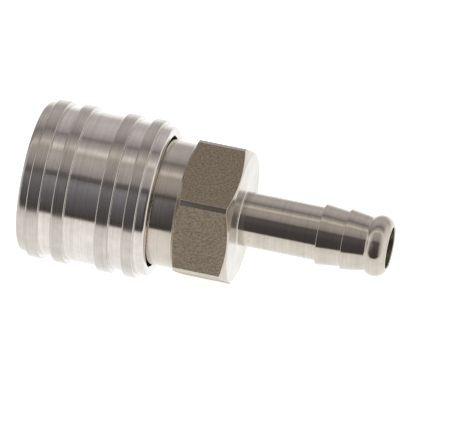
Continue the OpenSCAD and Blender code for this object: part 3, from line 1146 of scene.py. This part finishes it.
@dataclass
class HoseTail:
    """Neck, hexagon and barbed hose tail, turned from one bar."""

    neck_front_x: float = 20.2
    neck_r: float = 10.1
    spigot_r: float = 8.0
    step_x: float = 28.2
    chamber_r: float = 6.4
    rear_chamber_x: float = 30.2
    cone_len: float = 2.4
    hex_x: float = 25.1
    hex_len: float = 9.0
    front_chamfer: float = 0.6
    front_foot: float = 0.22
    rear_chamfer: float = 0.8
    face_r: float = 10.2
    tube_r: float = 4.35
    barb_r: float = 4.93
    barb_low_r: float = 4.46
    bore_r: float = 3.35
    bore_edge: float = 0.15
    end_ring: float = 0.35
    bead_round: float = 2.1
    barb_lengths: tuple[float, float] = (4.05, 3.8)
    neck_edge: float = 0.4
    flat_edge: float = 0.07
    face_edge: float = 0.1
    tube_fillet: float = 0.3
    barb_edge: float = 0.2
    bead_fillet: float = 0.1
    end_x: float = field(init=False)
    apothem: float = field(init=False)
    corner_r: float = field(init=False)

    def __post_init__(self) -> None:
        """Takes the overall length, the flats and the corners from the frame."""
        high = box_mm("hose_tail")[1]
        self.end_x = float(high[0])
        self.apothem = float(high[2])
        self.corner_r = float(high[1])

    def hexagon_angles(self) -> Array:
        """Angles about the axis, with extra ones beside the edges of the flats.

        Returns:
            The angles in radians.
        """
        flat_margin, land_margin = 0.02, 0.018
        edge = np.arccos(self.apothem / self.corner_r)
        near = np.radians([-0.7, -0.35, 0.0, 0.35, 0.7])
        flat = np.linspace(-edge + flat_margin, edge - flat_margin, 21)
        land = np.linspace(edge + land_margin, np.pi / 3 - edge - land_margin, 4)
        one = np.sort(np.concatenate([flat, edge + near, land, -edge + near]))
        sextant = np.unique(np.round(one, 9))
        sextant = sextant[sextant < sextant[0] + np.pi / 3 - 1e-6]
        centres = np.pi / 6 + np.arange(6) * np.pi / 3
        return (centres[:, None] + sextant[None, :]).reshape(-1)

    def outline(self, angles: Array) -> Outline:
        """Outline of the whole piece at each angle.

        The hexagon's radius is the lesser of the flat, apothem / cos a, and the turned corner.
        The chamfer cones meet it where their own radius equals it.

        Args:
            angles: angles about the axis.

        Returns:
            The outline.
        """
        turned = angles % (np.pi / 3) - np.pi / 6
        flat_r = self.apothem / np.cos(turned)
        side_r = np.minimum(flat_r, self.corner_r)
        hex_end = self.hex_x + self.hex_len
        front_x = self.hex_x + self.front_chamfer * (side_r - self.neck_r) / (self.corner_r - self.neck_r)
        rear_x = hex_end - self.rear_chamfer * (side_r - self.face_r) / (self.corner_r - self.face_r)
        sides = np.where(flat_r < self.corner_r - 1e-4, int(Zone.FLAT), int(Zone.OUTSIDE))
        shape = Outline().corner(self.spigot_r, self.neck_front_x)
        shape.corner(self.neck_r, self.neck_front_x, self.neck_edge)
        shape.corner(self.neck_r, self.hex_x - self.front_foot, EASED)
        shape.corner(side_r, front_x, self.flat_edge, sides)
        shape.corner(side_r, rear_x, self.flat_edge)
        shape.corner(self.face_r, hex_end, self.face_edge, Zone.FACE)
        shape.corner(self.tube_r, hex_end, self.tube_fillet)
        self.add_barbs(shape)
        self.add_bore(shape)
        return shape

    def add_barbs(self, shape: Outline) -> None:
        """Adds the two barbs and the rounded bead to the outline.

        Args:
            shape: the outline, which gets longer.
        """
        foot_len, arc_steps = 0.12, 22
        start_trim, end_trim = 0.06, 0.03
        bead_r = self.barb_r - self.bead_round
        ring_r = self.bore_r + self.end_ring
        end_angle = np.arccos((ring_r - bead_r) / self.bead_round)
        start_angle = -np.arccos((self.tube_r - bead_r) / self.bead_round)
        bead_x = self.end_x - self.bead_round * np.sin(end_angle)
        bead_start = bead_x + self.bead_round * np.sin(start_angle)
        second = bead_start - self.barb_lengths[1]
        first = second - self.barb_lengths[0]
        shape.corner(self.tube_r, first, CRISP)
        shape.corner(self.barb_r, first, self.barb_edge)
        shape.corner(self.barb_low_r, second, CRISP)
        shape.corner(self.barb_r, second, self.barb_edge)
        shape.corner(self.tube_r, bead_start - foot_len, self.bead_fillet)
        shape.arc((bead_r, bead_x), self.bead_round, start_angle + start_trim, end_angle - end_trim,
                  arc_steps)
        shape.corner(ring_r, self.end_x, CRISP)

    def add_bore(self, shape: Outline) -> None:
        """Adds the through bore, the chamber and the spigot's seat to the outline.

        Args:
            shape: the outline, which gets longer.
        """
        shape.corner(self.bore_r + self.bore_edge, self.end_x, CRISP)
        shape.corner(self.bore_r, self.end_x - self.bore_edge, CRISP, Zone.BORE)
        shape.path([(self.bore_r, self.rear_chamber_x + self.cone_len), (self.chamber_r, self.rear_chamber_x),
                    (self.chamber_r, self.step_x), (self.spigot_r, self.step_x)], CLEAN, Zone.BORE)

    def build(self, finishes: Finishes) -> None:
        """Builds the hose tail.

        Args:
            finishes: the materials.
        """
        angles = self.hexagon_angles()
        dress = {Zone.OUTSIDE: finishes.turned, Zone.FLAT: finishes.flats, Zone.BORE: finishes.bored,
                 Zone.FACE: finishes.faced}
        piece = make_piece("hose_tail_body", spin(self.outline(angles), angles), dress)
        place(piece, Body.HOUSING.value, "hose_tail")


@dataclass
class SocketBody:
    """Socket body with its ball holes, the retaining ring and the two static seals."""

    plug_bore_r: float = 6.05
    mouth_chamfer: float = 0.4
    guide_end_x: float = 6.4
    ball_bore_r: float = 6.25
    nose_bore_x: float = 11.6
    nose_bore_r: float = 5.1
    gland_r: float = 6.7
    gland: tuple[float, float] = (12.2, 14.6)
    seat_x: float = 18.0
    chamber_r: float = 6.4
    body_r: float = 8.5
    body_edge: float = 0.4
    ring_groove: tuple[float, float] = (0.95, 1.95)
    ring_root_r: float = 7.85
    ring_x: tuple[float, float] = (1.0, 1.9)
    ring_r: float = 9.3
    ring_gap: float = 1.2
    ring_play: float = 0.05
    spigot_x: float = 20.2
    spigot_r: float = 8.0
    seal_groove: tuple[float, float] = (21.2, 22.22)
    seal_groove_r: float = 7.24
    plug_seal: tuple[float, float, float] = (5.8, 13.4, 0.88)
    body_seal: tuple[float, float, float] = (7.62, 21.71, 0.36)
    hole_r: float = 2.05
    hole_lip: tuple[float, float] = (5.5, 6.8)
    lip_slope: float = 0.36
    ball_x: float = 9.0
    ball_count: int = 6
    sides: int = 192
    end_x: float = field(init=False)

    def __post_init__(self) -> None:
        """Takes the overall length from the frame."""
        self.end_x = float(box_mm("socket_body")[1][0])

    def outline(self) -> Outline:
        """Outline of the body: up the mouth, along the outside and back through the bores.

        Returns:
            The outline.
        """
        seat_end_x = self.seat_x + self.chamber_r - self.nose_bore_r
        shape = Outline().path([(self.plug_bore_r + self.mouth_chamfer, 0.0),
                                (self.body_r - self.body_edge, 0.0), (self.body_r, self.body_edge)], EASED)
        self.add_groove(shape, self.ring_groove, self.body_r, self.ring_root_r)
        shape.corner(self.body_r, self.spigot_x, EASED).corner(self.spigot_r, self.spigot_x)
        self.add_groove(shape, self.seal_groove, self.spigot_r, self.seal_groove_r)
        shape.corner(self.spigot_r, self.end_x)
        shape.path([(self.chamber_r, self.end_x), (self.chamber_r, seat_end_x),
                    (self.nose_bore_r, self.seat_x)], CLEAN, Zone.BORE)
        self.add_groove(shape, self.gland[::-1], self.nose_bore_r, self.gland_r, Zone.BORE)
        shape.corner(self.nose_bore_r, self.nose_bore_x, BROKEN, Zone.BORE)
        shape.path([(self.ball_bore_r, self.nose_bore_x), (self.ball_bore_r, self.guide_end_x),
                    (self.plug_bore_r, self.guide_end_x)], CLEAN, Zone.BORE)
        return shape.corner(self.plug_bore_r, self.mouth_chamfer, EASED)

    @staticmethod
    def add_groove(shape: Outline, span: tuple[float, float], side_r: float, root_r: float,
                   zone: Zone = Zone.OUTSIDE) -> None:
        """Adds a square groove to an outline.

        Args:
            shape: the outline.
            span: x of the groove's first and second wall.
            side_r: radius beside the groove.
            root_r: radius of its floor.
            zone: finish.
        """
        first, second = span
        shape.path([(side_r, first), (root_r, first), (root_r, second), (side_r, second)], CRISP, zone)

    def hole(self, along: Array) -> Surface:
        """Cutter of one ball hole, with the tapered lip that holds the ball in.

        Args:
            along: the hole's direction.

        Returns:
            The cutter.
        """
        lip_in, lip_out = self.hole_lip
        end = self.body_r + 1
        inner_r = self.hole_r - self.lip_slope * (lip_out - lip_in)
        profile = [(0.0, lip_in), (inner_r, lip_in), (self.hole_r, lip_out), (self.hole_r, end), (0.0, end)]
        return pin(profile, np.array([self.ball_x, 0.0, 0.0]), along, Zone.BORE)

    def build(self, finishes: Finishes) -> None:
        """Builds the body, the ring and the seals.

        Args:
            finishes: the materials.
        """
        dress = {Zone.OUTSIDE: finishes.socket, Zone.BORE: finishes.bored}
        body = make_piece("socket_body_shell", spin(self.outline(), around(self.sides)), dress)
        drill(body, [self.hole(along) for along in spokes(self.ball_count)], dress)
        place(body, Body.HOUSING.value, "socket_body")
        shape = square_ring(self.ring_root_r + self.ring_play, self.ring_r, *self.ring_x)
        surface = split_ring(shape, self.ring_gap)
        ring = make_piece("snap_ring", surface, {Zone.OUTSIDE: finishes.wire}, weld=True)
        keep_sharp(ring.data)
        place(ring, Body.HOUSING.value, "retaining_ring")
        for name, node, sizes in (("plug_o_ring", "plug_seal", self.plug_seal),
                                  ("body_o_ring", "body_seal", self.body_seal)):
            seal = make_piece(name, o_ring(*sizes), {Zone.OUTSIDE: finishes.rubber})
            place(seal, Body.HOUSING.value, node)


@dataclass
class LockBalls:
    """The six balls that hold the plug."""

    ball_r: float = 2.0
    rest_r: float = 7.1
    x: float = 9.0
    count: int = 6

    def build(self, finishes: Finishes) -> None:
        """Builds the balls.

        Args:
            finishes: the materials.
        """
        dress = {Zone.OUTSIDE: finishes.ball}
        for number, along in enumerate(spokes(self.count), start=1):
            centre = np.array([self.x, 0.0, 0.0]) + self.rest_r * along
            ball = make_piece(f"locking_ball_{number}", globe(centre, self.ball_r), dress, weld=True)
            place(ball, Body.of_ball(number), f"ball_{number}")


@dataclass
class Valve:
    """Ported valve tube, valve head with its stem, and the seal that they clamp."""

    front_x: float = 14.2
    bore_r: float = 3.4
    tube_r: float = 4.6
    collar_r: float = 5.04
    collar_w: float = 0.8
    tube_end_x: float = 18.2
    port_x: float = 16.1
    port_r: float = 0.9
    port_count: int = 6
    port_sides: int = 40
    sides: int = 144
    spigot_x: float = 17.1
    groove_r: float = 4.25
    head: tuple[float, float] = (19.759, 21.359)
    head_r: float = 5.6
    stem_r: float = 1.8
    stem_edge: float = 0.3
    stem_fillet: float = 0.1
    seal: tuple[float, float, float] = (5.0, 18.989, 0.75)
    stem_end_x: float = field(init=False)

    def __post_init__(self) -> None:
        """Takes the stem's end from the frame."""
        self.stem_end_x = float(box_mm("valve_head")[1][0])

    def build(self, finishes: Finishes) -> None:
        """Builds the tube, the head and the seal.

        Args:
            finishes: the materials.
        """
        dress = {Zone.OUTSIDE: finishes.valve}
        collar_end = self.front_x + self.collar_w
        shape = Outline().path([(self.bore_r, self.front_x), (self.collar_r, self.front_x)], BROKEN)
        shape.corner(self.collar_r, collar_end, EASED)
        shape.path([(self.tube_r, collar_end), (self.tube_r, self.tube_end_x),
                    (self.bore_r, self.tube_end_x)])
        tube = make_piece("valve_nose", spin(shape, around(self.sides)), dress)
        profile = rod(self.port_r, self.bore_r - 1, self.tube_r + 1)
        origin = np.array([self.port_x, 0.0, 0.0])
        ports = [pin(profile, origin, along, Zone.OUTSIDE, self.port_sides)
                 for along in spokes(self.port_count)]
        drill(tube, ports, dress)
        place(tube, Body.VALVE.value, "valve_tube")
        surface = spin(self.head_outline(), around(self.sides), loop=False)
        head = make_piece("valve_poppet", surface, dress, weld=True)
        place(head, Body.VALVE.value, "valve_head")
        seal = make_piece("valve_o_ring", o_ring(*self.seal), {Zone.OUTSIDE: finishes.rubber})
        place(seal, Body.VALVE.value, "valve_seal")

    def head_outline(self) -> Outline:
        """Outline of the head, from the axis in front to the axis at the stem's end.

        Returns:
            The outline.
        """
        shape = Outline().corner(0.0, self.spigot_x, 0.0).corner(self.bore_r, self.spigot_x)
        shape.corner(self.bore_r, self.tube_end_x).corner(self.groove_r, self.tube_end_x)
        shape.corner(self.groove_r, self.head[0]).corner(self.head_r, self.head[0], BROKEN)
        shape.corner(self.head_r, self.head[1], BROKEN).corner(self.stem_r, self.head[1], self.stem_fillet)
        shape.corner(self.stem_r, self.stem_end_x - self.stem_edge, EASED)
        shape.corner(self.stem_r - self.stem_edge, self.stem_end_x, EASED)
        return shape.corner(0.0, self.stem_end_x, 0.0)


@dataclass
class ValveSupport:
    """Perforated guide disc, its plastic bush and the valve's spring."""

    x: float = 27.0
    thickness: float = 1.2
    disc_r: float = 7.9
    hub_r: float = 3.3
    hub_end_x: float = 30.0
    bush_r: float = 2.5
    bush_bore_r: float = 1.86
    flange_r: float = 2.9
    flange_w: float = 0.4
    hole_r: float = 1.5
    hole_at: float = 4.85
    hole_count: int = 4
    hole_start_deg: float = 45.0
    hole_sides: int = 48
    hub_fillet: float = 0.15
    hub_edge: float = 0.1
    sides: int = 144
    bush_sides: int = 96
    wire: float = 0.6
    turns: float = 3.25

    def build(self, finishes: Finishes) -> None:
        """Builds the disc, the bush and the spring.

        Args:
            finishes: the materials.
        """
        disc_end = self.x + self.thickness
        shape = Outline().corner(self.bush_r, self.x).corner(self.disc_r, self.x)
        shape.corner(self.disc_r, disc_end).corner(self.hub_r, disc_end, self.hub_fillet)
        shape.corner(self.hub_r, self.hub_end_x, self.hub_edge).corner(self.bush_r, self.hub_end_x)
        dress = {Zone.OUTSIDE: finishes.turned}
        disc = make_piece("guide_disc", spin(shape, around(self.sides)), dress)
        profile = rod(self.hole_r, -1.0, self.thickness + 1)
        starts = np.array([self.x, 0.0, 0.0]) + spokes(self.hole_count, self.hole_start_deg) * self.hole_at
        along = np.array([1.0, 0.0, 0.0])
        holes = [pin(profile, start, along, Zone.OUTSIDE, self.hole_sides) for start in starts]
        drill(disc, holes, dress)
        place(disc, Body.HOUSING.value, "spring_guide")
        flange_x = self.x - self.flange_w
        shape = Outline().corner(self.bush_bore_r, flange_x).corner(self.flange_r, flange_x, BROKEN)
        shape.corner(self.flange_r, self.x).corner(self.bush_r, self.x)
        shape.corner(self.bush_r, self.hub_end_x).corner(self.bush_bore_r, self.hub_end_x)
        bush = make_piece("stem_bush", spin(shape, around(self.bush_sides)), {Zone.OUTSIDE: finishes.bush})
        place(bush, Body.HOUSING.value, "guide_bush")
        build_spring("valve_return_spring", "valve_spring", self.wire, self.turns,
                     finishes.wire)


# ----------------------------------------------------------------------------- studio


@dataclass(frozen=True)
class Tone:
    """Grey level of the room at one angle about the coupling's axis.

    The angle is 0 at the horizon on the near side, 90 overhead and 180 at the far horizon.
    """

    angle: float
    colour: Colour


@dataclass
class Studio:
    """Pale floor, soft light, a room of soft grey panels, and the camera.

    Lengths are in millimetres, or in metres where the name ends in _m. Angles are in degrees.
    """

    floor_gap: float = 0.05
    floor_half_m: float = 3.0
    floor_shades: tuple[float, float] = (0.80, 0.82)
    floor_grain: float = 40.0
    floor_rough: float = 0.9
    floor_glow: Colour = (1.0, 0.99, 0.975)
    floor_glow_strength: float = 0.8
    lamp_size_m: float = 1.2
    lamp_place_m: tuple[float, float, float] = (0.0, 0.1, 1.1)
    lamp_energy: float = 9.0
    lamp_colour: Colour = (1.0, 0.985, 0.97)
    backdrop: float = 0.98
    tones: tuple[Tone, ...] = (
        Tone(-180, (0.62, 0.59, 0.61)),
        Tone(-167, (0.66, 0.63, 0.63)),
        Tone(-158, (1.00, 1.00, 0.98)),
        Tone(-150, (1.20, 1.22, 1.22)),
        Tone(-60, (1.17, 1.19, 1.17)),
        Tone(-25, (1.18, 1.18, 1.16)),
        Tone(-8, (1.08, 1.07, 1.05)),
        Tone(2, (1.02, 0.99, 0.96)),
        Tone(6, (0.075, 0.067, 0.064)),
        Tone(20, (0.080, 0.075, 0.074)),
        Tone(38, (0.088, 0.082, 0.084)),
        Tone(56, (0.13, 0.12, 0.125)),
        Tone(66, (0.13, 0.12, 0.12)),
        Tone(69, (0.14, 0.13, 0.13)),
        Tone(74, (0.40, 0.37, 0.37)),
        Tone(86, (0.50, 0.47, 0.46)),
        Tone(94, (0.56, 0.53, 0.51)),
        Tone(102, (0.52, 0.48, 0.44)),
        Tone(110, (0.90, 0.87, 0.82)),
        Tone(118, (0.55, 0.52, 0.50)),
        Tone(126, (0.40, 0.38, 0.37)),
        Tone(132, (0.26, 0.24, 0.25)),
        Tone(138, (0.44, 0.42, 0.43)),
        Tone(152, (0.61, 0.58, 0.58)),
        Tone(166, (0.68, 0.65, 0.66)),
        Tone(180, (0.62, 0.59, 0.61)),
    )
    end_tone: Colour = (1.15, 1.15, 1.13)
    front_tones: tuple[Tone, ...] = (
        Tone(-180, (0.26, 0.25, 0.25)),
        Tone(-160, (0.40, 0.39, 0.38)),
        Tone(-140, (1.12, 1.12, 1.10)),
        Tone(104, (1.10, 1.09, 1.06)),
        Tone(124, (0.34, 0.33, 0.32)),
        Tone(180, (0.26, 0.25, 0.25)),
    )
    gain: float = 1.5
    end_start: float = 0.50
    end_full: float = 0.98
    card_distance: float = 150.0
    card_span: tuple[float, float] = (-100.0, 2.0)
    card_rows: int = 24
    card_tones: tuple[Tone, ...] = (
        Tone(14, (0.085, 0.082, 0.082)),
        Tone(38, (0.17, 0.165, 0.185)),
        Tone(56, (0.28, 0.27, 0.30)),
        Tone(63, (0.22, 0.21, 0.23)),
    )
    aim: tuple[float, float, float] = (33.04, -2.249, 2.910)
    azimuth: float = 17.565
    elevation: float = 56.452
    roll: float = -3.213
    distance: float = 929.75
    lens: float = 456.55
    sensor: float = 36.0
    clip_m: tuple[float, float] = (0.01, 20.0)

    def build(self) -> None:
        """Builds the floor, the light, the card, the room and the camera."""
        self.build_floor()
        self.build_light()
        self.build_card()
        self.build_room()
        self.build_camera()

    def build_floor(self) -> None:
        """Adds a wide pale floor just under the sleeve's ribs."""
        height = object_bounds()[0][2] - self.floor_gap * MM
        half = self.floor_half_m
        corners = [(-half, -half, height), (half, -half, height), (half, half, height), (-half, half, height)]
        mesh = bpy.data.meshes.new("floor")
        mesh.from_pydata(corners, [], [(0, 1, 2, 3)])
        material, tree, shader = new_material("pale_floor")
        grain = tree.noise(tree.coordinates(), self.floor_grain, 3.0)
        dark, light = (opaque((shade,) * 3) for shade in self.floor_shades)
        tree.fill(shader, {
            "Base Color": tree.mix(grain, dark, light),
            "Roughness": self.floor_rough,
            "Specular IOR Level": 0.0,
            "Emission Color": opaque(self.floor_glow),
            "Emission Strength": self.floor_glow_strength,
        })
        mesh.materials.append(material)
        floor = linked("floor", mesh)
        floor.visible_glossy = False
        floor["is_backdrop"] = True

    def build_light(self) -> None:
        """Adds a large soft lamp overhead that lights the floor."""
        lamp = bpy.data.lights.new("soft_lamp", "AREA")
        lamp.size = self.lamp_size_m
        lamp.energy = self.lamp_energy
        lamp.color = self.lamp_colour
        holder = linked("soft_lamp", lamp)
        holder.location = self.lamp_place_m
        holder.visible_glossy = False

    def build_card(self) -> None:
        """Hangs a grey card beside the sleeve, which only shows in reflections."""
        angle = np.radians(np.linspace(self.card_tones[0].angle, self.card_tones[-1].angle, self.card_rows))
        points = [polar(self.card_distance, x, np.pi - angle) for x in self.card_span]
        grid = np.stack([np.asarray(side) for side in points], axis=1)
        faces = grid_faces(len(angle), 2, False, False)
        mesh = bpy.data.meshes.new("grey_card")
        mesh.from_pydata((grid.reshape(-1, 3) * MM).tolist(), [], faces.tolist())
        material = bpy.data.materials.new("grey_card")
        material.use_nodes = True
        tree = NodeTree(material.node_tree)
        material.node_tree.nodes.clear()
        glow = tree.add("ShaderNodeEmission")
        tree.feed(glow.inputs["Color"], self.tone_at(tree, "Object", self.card_tones))
        glow.inputs["Strength"].default_value = self.gain
        tree.feed(tree.add("ShaderNodeOutputMaterial").inputs[0], glow.outputs[0])
        mesh.materials.append(material)
        card = linked("grey_card", mesh)
        card.visible_camera = card.visible_diffuse = card.visible_shadow = False
        card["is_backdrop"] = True

    def dimmed(self, colour: Colour) -> tuple[float, ...]:
        """A room colour in parts of the gain."""
        return opaque(tuple(part / self.gain for part in colour))

    def tone_at(self, tree: NodeTree, coordinates: str, tones: tuple[Tone, ...]) -> bpy.types.NodeSocket:
        """Colour ramp over the angle about the axis, in parts of the gain.

        Args:
            tree: the tree to add to.
            coordinates: name of the Texture Coordinate output to read.
            tones: the ramp's stops.

        Returns:
            The ramp's colour socket.
        """
        y, z = tree.split(tree.coordinates(coordinates))[1:]
        angle = tree.math("ARCTAN2", z, tree.math("MULTIPLY", y, -1.0))
        low, high = tones[0].angle, tones[-1].angle
        ramp = tree.add("ShaderNodeValToRGB")
        tree.feed(ramp.inputs[0], tree.span(angle, np.radians(low), np.radians(high)))
        stops = ramp.color_ramp.elements
        while len(stops) < len(tones):
            stops.new(0.5)
        for stop, tone in zip(stops, tones):
            stop.position = (tone.angle - low) / (high - low)
            stop.color = self.dimmed(tone.colour)
        return ramp.outputs[0]

    def build_room(self) -> None:
        """Makes the world: grey panels for reflections, and an even pale tone behind the object."""
        world = bpy.data.worlds.new("studio_room")
        world.use_nodes = True
        bpy.context.scene.world = world
        tree = NodeTree(world.node_tree)
        shader = world.node_tree.nodes["Background"]
        room = self.tone_at(tree, "Generated", self.tones)
        x = tree.split(tree.coordinates("Generated"))[0]
        rear = tree.span(x, self.end_start, self.end_full)
        room = tree.mix(rear, room, self.dimmed(self.end_tone))
        front = tree.span(x, -self.end_start, -self.end_full)
        room = tree.mix(front, room, self.tone_at(tree, "Generated", self.front_tones))
        seen = tree.add("ShaderNodeLightPath").outputs["Is Camera Ray"]
        backdrop = self.dimmed((self.backdrop,) * 3)
        tree.fill(shader, {"Color": tree.mix(seen, room, backdrop), "Strength": self.gain})
        bpy.context.scene.view_settings.view_transform = "Standard"

    def build_camera(self) -> None:
        """Sets the camera up: a long lens that looks down on the coupling from the near side."""
        azimuth, elevation, roll = np.radians([self.azimuth, self.elevation, self.roll])
        back = np.array([np.sin(azimuth) * np.cos(elevation), -np.cos(azimuth) * np.cos(elevation),
                         np.sin(elevation)])
        level = np.cross([0.0, 0.0, 1.0], back)
        level /= np.linalg.norm(level)
        up = np.cross(back, level)
        right = np.cos(roll) * level + np.sin(roll) * up
        up = np.cross(back, right)
        place_m = (np.array(self.aim) + self.distance * back) * MM
        data = bpy.data.cameras.new("camera")
        data.lens = self.lens
        data.sensor_width = self.sensor
        data.clip_start, data.clip_end = self.clip_m
        camera = linked("camera", data)
        matrix = np.eye(4)
        matrix[:3, 0], matrix[:3, 1], matrix[:3, 2], matrix[:3, 3] = right, up, back, place_m
        camera.matrix_world = Matrix(matrix.tolist())
        bpy.context.scene.camera = camera


def main() -> None:
    """Builds the coupling piece by piece and reports each one."""
    logging.basicConfig(level=logging.INFO, format="%(name)s: %(message)s")
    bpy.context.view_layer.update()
    finishes = Finishes(Groups())
    Studio().build()
    HoseTail().build(finishes)
    SocketBody().build(finishes)
    ValveSupport().build(finishes)
    Valve().build(finishes)
    LockBalls().build(finishes)
    Sleeve().build(finishes)
    LOG.info("sizes written")


if __name__ == "__main__":
    main()
